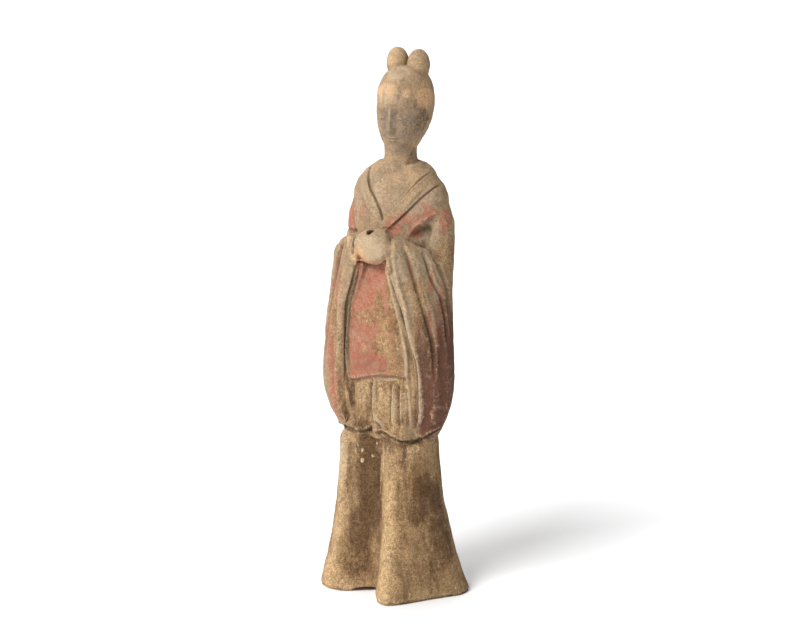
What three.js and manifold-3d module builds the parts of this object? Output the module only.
import * as THREE from 'three';
import { LoftGeometry } from 'three/addons/geometries/LoftGeometry.js';
import { mergeVertices } from 'three/addons/utils/BufferGeometryUtils.js';
import Module from 'manifold-3d';

// A pottery attendant of one fired piece, standing with clasped hands in long sleeves.
// Millimetres. The figure faces -Y and its own left is +X. It is shaped about the neck's axis,
// then moved so that the origin is on the ground under the middle of its overall box.

// Driving sizes
const height = 250; // ground to the tip of the taller hair knot
const socketBore = 3.8; // across the hole in the clasped hands
const socketDepth = 8;
const hemArch = 2; // rise of the trouser hem between the legs

// The pose and the carving are counted in thousandths of the height.
const share = height / 1000;
const clay = { color: 0xa58c6b, roughness: 0.93, metalness: 0 };

const wasm = await Module();
wasm.setup();

const radians = THREE.MathUtils.degToRad;
const mix = THREE.MathUtils.lerp;
const within = THREE.MathUtils.clamp;

// A smooth curve through [place, value] pairs, level past both ends and without overshoot.
function through(pairs) {
  const last = pairs.length - 1;
  const rise = pairs.slice(1).map(([place, value], i) => (value - pairs[i][1]) / (place - pairs[i][0]));
  const slopes = pairs.map((pair, i) => {
    if (i === 0 || i === last || rise[i - 1] * rise[i] <= 0) return 0;
    return (2 * rise[i - 1] * rise[i]) / (rise[i - 1] + rise[i]);
  });
  return place => {
    if (place <= pairs[0][0]) return pairs[0][1];
    if (place >= pairs[last][0]) return pairs[last][1];
    const i = pairs.findIndex(([next]) => next > place) - 1;
    const [start, from] = pairs[i];
    const [end, to] = pairs[i + 1];
    const span = end - start;
    const t = (place - start) / span;
    return (
      from * (1 + 2 * t) * (1 - t) ** 2 +
      slopes[i] * span * t * (1 - t) ** 2 +
      to * t * t * (3 - 2 * t) -
      slopes[i + 1] * span * t * t * (1 - t)
    );
  };
}

// 1 at the middle of a ridge or groove, falling smoothly to nothing past its width.
function bell(distance, width) {
  return Math.exp(-((distance / width) ** 2));
}

function signedPower(value, power) {
  return Math.sign(value) * Math.abs(value) ** power;
}

// Places from one end to the other, counted in thousandths of the height.
function steps(from, to, count) {
  return Array.from({ length: count + 1 }, (unused, i) => mix(from, to, i / count));
}

// The turns of one section, from the front (0) round by the figure's left (90 degrees).
// A crowding over 0 puts more of them at the front.
function turns(count, crowding = 0) {
  return Array.from({ length: count }, (unused, i) => {
    const even = (i / count) * 2 * Math.PI;
    return even - crowding * Math.sin(even);
  });
}

function solidOf(geometry) {
  const bare = new THREE.BufferGeometry();
  bare.setAttribute('position', geometry.attributes.position);
  bare.setIndex(geometry.index);
  const merged = mergeVertices(bare, 1e-4);
  return new wasm.Manifold(
    new wasm.Mesh({
      numProp: 3,
      vertProperties: merged.attributes.position.array,
      triVerts: new Uint32Array(merged.index.array),
    }),
  );
}

// A solid through sections of [x, y, z] points in thousandths of the height, closed at both ends.
function loft(sections) {
  const placed = ([x, y, z]) => new THREE.Vector3(x, y, z).multiplyScalar(share);
  const rings = sections.map(ring => ring.map(placed));
  return solidOf(new LoftGeometry(rings, { capStart: true, capEnd: true }));
}

function joined(solids) {
  return solids.reduce((whole, next) => whole.add(next));
}

// A limb, band or knot along a curve: an oval section whose width and thickness change on the way.
function sweep({ path, width, thickness, across, count, slices, squareness = 1 }) {
  const curve = new THREE.CatmullRomCurve3(path.map(point => new THREE.Vector3(...point)));
  return loft(
    steps(0, 1, count).map(along => {
      const middle = curve.getPointAt(along);
      const ahead = curve.getTangentAt(along);
      const side = new THREE.Vector3(...across(along)).cross(ahead).normalize();
      const out = ahead.clone().cross(side);
      return turns(slices).map(turn =>
        middle
          .clone()
          .addScaledVector(side, width(along) * signedPower(Math.cos(turn), squareness))
          .addScaledVector(out, thickness(along) * signedPower(Math.sin(turn), squareness))
          .toArray(),
      );
    }),
  );
}

// Trousers: two bell-bottomed legs with a valley between them, the left foot a little ahead.
// Each outline is the reach from the figure's axis at a turn from the front, in degrees.
const trouserHem = {
  left: [
    [0, 77], [6, 92], [12, 119], [19, 149], [26, 160], [34, 152], [46, 139], [60, 131], [74, 133],
    [88, 144], [97, 144], [118, 120], [180, 92],
  ],
  right: [
    [0, 77], [8, 86], [18, 106], [28, 132], [38, 146], [50, 151], [68, 147], [86, 150], [118, 120],
    [180, 92],
  ],
};
const trouserKnee = {
  left: [
    [0, 59], [8, 66], [16, 72], [28, 78], [44, 86], [60, 92], [76, 90], [92, 82], [122, 68], [180, 50],
  ],
  right: [
    [0, 59], [10, 56], [22, 67], [36, 88], [48, 107], [57, 112], [72, 104], [90, 93], [120, 70],
    [180, 50],
  ],
};
const kneeHeight = 280;
const trouserTop = 320;
const flareCurve = 1.85;

function reachOf(outline) {
  const left = through(outline.left);
  const right = through(outline.right);
  return turn => {
    const degrees = THREE.MathUtils.radToDeg(turn) % 360;
    return degrees <= 180 ? left(degrees) : right(360 - degrees);
  };
}

function trousers() {
  const hem = reachOf(trouserHem);
  const knee = reachOf(trouserKnee);
  const levels = [0, 3, ...steps(12, 106, 5), ...steps(134, kneeHeight, 5), trouserTop];
  return loft(
    levels.map((level, row) => {
      const flare = within(1 - level / kneeHeight, 0, 1) ** flareCurve;
      const taper = level > kneeHeight ? 0.86 : 1; // out of sight under the skirt
      const rounding = row === 0 ? 0.975 : taper; // the hem's worn lower edge
      return turns(48, 0.35).map(turn => {
        const reach = mix(knee(turn), hem(turn), flare) * rounding;
        return [reach * Math.sin(turn), -reach * Math.cos(turn), level];
      });
    }),
  );
}

// Jacket and the pleated skirt under it, up to the shoulders: half width, depth to the front
// and depth to the back at each level.
const skirtHem = 286;
const jacketHem = 404;
const chest = 662; // above the forearms
const shoulderTop = 797;
const jacketWidth = through([
  [286, 72], [297, 82], [345, 90], [430, 88], [540, 76], [630, 76], [668, 84], [692, 94], [712, 98],
  [733, 98], [757, 90], [773, 77], [786, 60], [797, 42],
]);
const jacketFront = through([
  [286, 67], [297, 73], [348, 66], [386, 66], [480, 82], [560, 86], [620, 76], [676, 59], [711, 51],
  [737, 43], [761, 36], [797, 28],
]);
const jacketBack = through([
  [286, 50], [299, 57], [383, 62], [560, 56], [690, 61], [729, 57], [757, 50], [797, 34],
]);
const corner = through([[330, 0.56], [480, 0.6], [600, 0.66], [670, 0.88]]); // under 1 is squarer than an oval
const hemStep = 5; // how far the jacket's hem stands proud of the pleats
const hemTilt = 0.16; // the front hem climbs towards the figure's left
const panelWidth = 66; // half the width of the front that shows between the sleeves
const pleats = { ridges: [-42, 2, 38, 54], width: 10, rise: 7 };

function jacketPoint(turn, level) {
  const front = Math.cos(turn) > 0;
  const depth = front ? jacketFront(level) : jacketBack(level);
  const x = jacketWidth(level) * signedPower(Math.sin(turn), front ? corner(level) : 0.86);
  let y = -depth * signedPower(Math.cos(turn), front ? corner(level) : 0.9);
  if (front && Math.abs(x) < panelWidth) {
    const ridge = pleats.ridges.reduce((sum, place) => sum + bell(x - place, pleats.width), 0);
    y -= level < jacketHem ? pleats.rise * ridge * bell(level - 318, 60) : hemStep * bell(level - jacketHem, 90);
  }
  const lift = front ? 14 * bell(x + 12, 28) * bell(level - skirtHem, 26) : 0;
  const tilt = front ? hemTilt * x * bell(level - jacketHem, 60) : 0;
  return [x, y, level + lift + tilt];
}

function jacket() {
  const levels = [
    ...[0, 4, 14, 34, 58, 86].map(rise => skirtHem + rise),
    ...[jacketHem - 0.5, jacketHem + 1],
    ...steps(jacketHem + 20, chest - 22, 5),
    ...steps(chest, shoulderTop, 7),
  ];
  return loft(levels.map(level => turns(44, 0.3).map(turn => jacketPoint(turn, level))));
}

// Sleeves: a long bag that hangs from each forearm, its mouth a slit between two lips.
// The section is an oval whose front end points at the lips.
const sleeveBottom = 286;
const sleeveTop = 668;
const sleeve = {
  x: through([[286, 82], [378, 89], [480, 85], [540, 79], [590, 71], [620, 65], [645, 56], [668, 38]]),
  y: through([[286, -28], [378, -28], [480, -32], [540, -35], [590, -39], [620, -43], [645, -50], [668, -71]]),
  length: through([[286, 37], [378, 39], [480, 46], [540, 55], [590, 62], [620, 61], [645, 50], [668, 20]]),
  width: through([[286, 31], [378, 33], [480, 29], [540, 27], [600, 26], [645, 22], [668, 12]]),
  yaw: through([[540, 21], [590, 27], [620, 33]]),
};
// The right sleeve stands further out, its mouth turned further in.
const rightSpread = through([[290, -4], [360, -12.5], [470, -9], [580, -4]]);
const rightForward = -8;
const mouthTurn = { left: 0, right: 14 };
const bagRound = 80; // height over which the bag rounds in at the bottom
const backRound = 60; // and how much more at its back, under the elbow
const backFullness = 0.34; // the bag is fuller behind than at its mouth
const bottomTilt = 0.2; // the bag's bottom climbs from the mouth to the back
const mouth = { width: 0.2, depth: 8, lip: 0.42, lipRise: 3 };
// Folds fall from the elbow and swing outwards: [turn at the top, turn at the bottom, rise].
const folds = [[0.85, 1.25, 4.5], [1.5, 2.0, 4], [2.25, 2.7, 3]];
const foldWidth = 0.2;

function sleeveShift(side, level) {
  return side > 0 ? [0, 0] : [rightSpread(level), rightForward];
}

function sleeveSolid(side) {
  const levels = [
    ...[0, 4, 12, 26, 48].map(rise => sleeveBottom + rise),
    ...steps(sleeveBottom + 76, sleeveTop - 18, 11),
    sleeveTop,
  ];
  return loft(
    levels.map(level => {
      const down = (sleeveTop - level) / (sleeveTop - sleeveBottom);
      const ring = turns(32, 0.45).map(turn => {
        const fromMouth = turn > Math.PI ? turn - 2 * Math.PI : turn;
        const round = bagRound + backRound * (0.5 - 0.5 * Math.cos(turn));
        const under = within((sleeveBottom + round - level) / round, 0, 1);
        const full = Math.max(0.3, Math.sqrt(1 - under ** 2));
        const lips = bell(Math.abs(fromMouth) - mouth.lip, mouth.width);
        const fold = folds.reduce(
          (sum, [top, bottom, rise]) => sum + rise * bell(fromMouth - mix(top, bottom, down ** 0.7), foldWidth),
          0,
        );
        const slit = mouth.depth * bell(fromMouth, mouth.width);
        const carving = mouth.lipRise * lips - slit + fold * bell(down - 0.35, 0.5);
        const fuller = 1 + backFullness * (0.5 - 0.5 * Math.cos(turn));
        const across = (sleeve.width(level) + carving) * fuller * full * Math.sin(turn);
        const ahead = (sleeve.length(level) + carving) * full * Math.cos(turn);
        const yaw = radians(sleeve.yaw(level) + (side > 0 ? mouthTurn.left : mouthTurn.right));
        const x = sleeve.x(level) + across * Math.cos(yaw) - ahead * Math.sin(yaw);
        const y = sleeve.y(level) - across * Math.sin(yaw) - ahead * Math.cos(yaw);
        const [shiftX, shiftY] = sleeveShift(side, level);
        const climb = -bottomTilt * ahead * bell(level - sleeveBottom, 50);
        return [side * x + shiftX, y + shiftY, level + climb];
      });
      return side > 0 ? ring : ring.reverse();
    }),
  );
}

// Arms inside the sleeves. The upper arm runs on down as the back of the hanging sleeve, and
// the forearm comes forward and up from the elbow to the hands.
const upperArmRadius = through([[0, 22], [0.15, 33], [0.5, 31], [0.75, 28], [1, 22]]);
const forearmRadius = through([[0, 27], [0.5, 25], [1, 20]]);

function arm(side) {
  const beside = (x, y, level, part = 1) => {
    const [shiftX, shiftY] = sleeveShift(side, level);
    return [side * x + shiftX * part, y + shiftY * part, level];
  };
  const upper = sweep({
    path: [
      beside(58, 4, 748, 0),
      beside(76, 4, 706, 0),
      beside(81, 2, 650, 0),
      beside(82, -2, 595),
      beside(85, -9, 515),
      beside(88, -18, 420),
    ],
    width: upperArmRadius,
    thickness: upperArmRadius,
    across: () => [0, 1, 0],
    count: 11,
    slices: 14,
  });
  const forearm = sweep({
    path: [beside(80, -8, 615), beside(56, -48, 630, 0.5), beside(24, -84, 654, 0)],
    width: forearmRadius,
    thickness: forearmRadius,
    across: () => [0, 0, 1],
    count: 5,
    slices: 12,
  });
  return upper.add(forearm);
}

// Hands clasped one over the other, pierced from above for something once held.
const hands = { y: -85, z: 654 };
const socketPlace = [-1, -94, 685];
const socketLean = 35; // the hole leans forward, in degrees

// A squareness under 1 makes the top and bottom broader than an oval's.
function ball([x, y, z], [width, depth, tall], slices = 16, squareness = 1) {
  const geometry = new THREE.SphereGeometry(1, slices, Math.round(slices * 0.6));
  geometry.rotateX(Math.PI / 2);
  const points = geometry.attributes.position;
  for (let i = 0; i < points.count; i += 1) {
    const around = Math.hypot(points.getX(i), points.getY(i));
    const broader = around > 1e-6 ? around ** (squareness - 1) : 0;
    points.setXY(i, points.getX(i) * broader, points.getY(i) * broader);
  }
  geometry.scale(width * share, depth * share, tall * share);
  geometry.translate(x * share, y * share, z * share);
  return solidOf(geometry);
}

function clasp() {
  const palms = ball([3, hands.y, hands.z], [38, 23, 31], 16, 0.66);
  const upperHand = ball([-10, hands.y - 7, hands.z + 5], [27, 16, 21], 12);
  const lowerHand = ball([17, hands.y - 5, hands.z - 4], [26, 16, 22], 12);
  return joined([palms, upperHand, lowerHand]);
}

// The trouser hem lifts off the ground beside the valley between the legs.
function archUnderHem() {
  return ball([-16, -92, 0], [27, 34, hemArch / share], 16);
}

function socket() {
  const clear = 2; // how far the cutter starts above the hands
  const bore = new THREE.CylinderGeometry(socketBore / 2, socketBore / 2, socketDepth + clear, 16);
  bore.translate(0, (clear - socketDepth) / 2, 0);
  bore.rotateX(radians(90 + socketLean));
  bore.translate(...socketPlace.map(v => v * share));
  return solidOf(bore);
}

// Collar bands cross at the chest, the figure's left over its right, and meet behind the neck.
const crossing = 680;

function collarBand(side) {
  const proud = side > 0 ? 1.8 : 0.4;
  const surface = (x, level) => {
    const turn = Math.asin(signedPower(x / jacketWidth(level), 1 / corner(level)));
    return [x, jacketPoint(turn, level)[1] - proud, level];
  };
  const reach = side > 0 ? -8 : 2; // how far past the middle the band runs
  return sweep({
    path: [
      surface(side * reach, crossing - 14),
      surface(side * 18, crossing + 20),
      surface(side * 38, crossing + 48),
      surface(side * 56, crossing + 76),
      [side * 65, -2, 777],
      [side * 50, 27, 784],
      [0, 41, 788],
    ],
    width: () => 11.5,
    thickness: () => 3.6,
    across: along => {
      const over = Math.sin(along * Math.PI);
      return [0.7 * side * over, -Math.cos(along * Math.PI), 0.35 + 0.65 * over];
    },
    count: 18,
    slices: 8,
    squareness: 0.6,
  });
}

// Neck and head
const neck = through([[722, 22], [757, 29], [774, 33], [788, 34], [804, 30], [822, 29], [850, 27]]);
const neckBack = through([[757, 6], [792, 1]]);
const head = { z: 888, yaw: 8, tall: 74 };
const chinHeight = 816;
const eyeLevel = 886;
const browLevel = 900;
const noseBase = 858;
const mouthLevel = 843;

function neckSolid() {
  return loft(
    [722, 742, 757, 767, 777, 790, 806, 850].map(level =>
      turns(20).map(turn => [
        neck(level) * Math.sin(turn),
        neckBack(level) - neck(level) * 1.03 * Math.cos(turn),
        level,
      ]),
    ),
  );
}

// The face is plain and regular: a brow over closed-in eye hollows, a straight nose, lips and chin.
function facePoint(turn, rise) {
  const level = head.z + head.tall * rise;
  const round = Math.sqrt(Math.max(0, 1 - rise ** 2));
  const jaw = mix(0.86, 1, within((level - chinHeight) / 60, 0, 1));
  const front = Math.max(0, Math.cos(turn));
  const x = 46 * jaw * round ** 0.82 * Math.sin(turn);
  let y = 4 - 48 * round ** (front > 0 ? 0.72 : 1) * Math.cos(turn);
  const at = (place, width, high, tall) => bell(x - place, width) * bell(level - high, tall) * front;
  const nose = within((browLevel - level) / (browLevel - noseBase), 0, 1);
  y -= level > noseBase - 6 ? 10 * nose * bell(x, 5 + 4 * nose) * front : 0;
  y -= 2.5 * (at(-20, 12, browLevel, 7) + at(20, 12, browLevel, 7));
  y += 5 * (at(-19, 10, eyeLevel, 7) + at(19, 10, eyeLevel, 7));
  y -= 2 * (at(-19, 8, eyeLevel, 4) + at(19, 8, eyeLevel, 4));
  y -= 3.5 * (at(0, 11, mouthLevel + 4, 3.5) + at(0, 9, mouthLevel - 5, 3.5));
  y += 2.5 * at(0, 14, mouthLevel - 12, 4);
  y -= 3.5 * at(0, 12, chinHeight + 8, 9);
  return [x, y, level];
}

function headSolid() {
  const rises = steps(-88, 88, 24).map(angle => Math.sin(radians(angle)));
  return loft(rises.map(rise => turns(32, 0.5).map(turn => facePoint(turn, rise))));
}

// Hair: a smooth cap drawn up from the temples and the nape, then two knots on the crown.
const knot = { x: 21.5, y: 27, leftTop: 999, rightTop: 1000, width: 21.5, depth: 19, tall: 29 };

function hair() {
  const cap = ball([0, 20, head.z + 17], [52, 50, 64], 22, 0.68);
  const nape = ball([0, 26, head.z - 20], [40, 34, 44], 14);
  const roll = ball([0, 7, head.z + 26], [49, 49, 50], 20, 0.85);
  return joined([cap, nape, roll, knotSolid(knot.x, knot.leftTop), knotSolid(-knot.x, knot.rightTop)]);
}

function knotSolid(x, top) {
  return ball([x, knot.y, top - knot.tall], [knot.width, knot.depth, knot.tall], 14, 0.85);
}

function turnedHead() {
  return joined([headSolid(), hair()]).rotate([0, 0, head.yaw]);
}

const figure = joined([
  trousers(),
  jacket(),
  sleeveSolid(1),
  sleeveSolid(-1),
  arm(1),
  arm(-1),
  clasp(),
  collarBand(-1),
  collarBand(1),
  neckSolid(),
  turnedHead(),
])
  .subtract(socket())
  .subtract(archUnderHem());

// Surfaces that all but touch can leave a speck inside the union, which is dropped here.
function oneBody(solid) {
  const bodies = solid.simplify(0.12).decompose();
  return bodies.reduce((largest, next) => (next.volume() > largest.volume() ? next : largest));
}

function geometryOf(solid) {
  const { vertProperties, triVerts, numProp } = solid.getMesh();
  const places = Float32Array.from({ length: (vertProperties.length / numProp) * 3 }, (unused, i) =>
    vertProperties[Math.floor(i / 3) * numProp + (i % 3)],
  );
  const geometry = new THREE.BufferGeometry();
  geometry.setAttribute('position', new THREE.BufferAttribute(places, 3));
  geometry.setIndex(new THREE.BufferAttribute(triVerts, 1));
  geometry.computeVertexNormals();
  return geometry;
}

const attendantShape = geometryOf(oneBody(figure));
attendantShape.computeBoundingBox();
const footprint = attendantShape.boundingBox.getCenter(new THREE.Vector3());
attendantShape.translate(-footprint.x, -footprint.y, 0);

const attendant = new THREE.Mesh(attendantShape, new THREE.MeshStandardMaterial(clay));
attendant.name = 'attendant_figure';

const group = new THREE.Group();
group.add(attendant);

export default group;
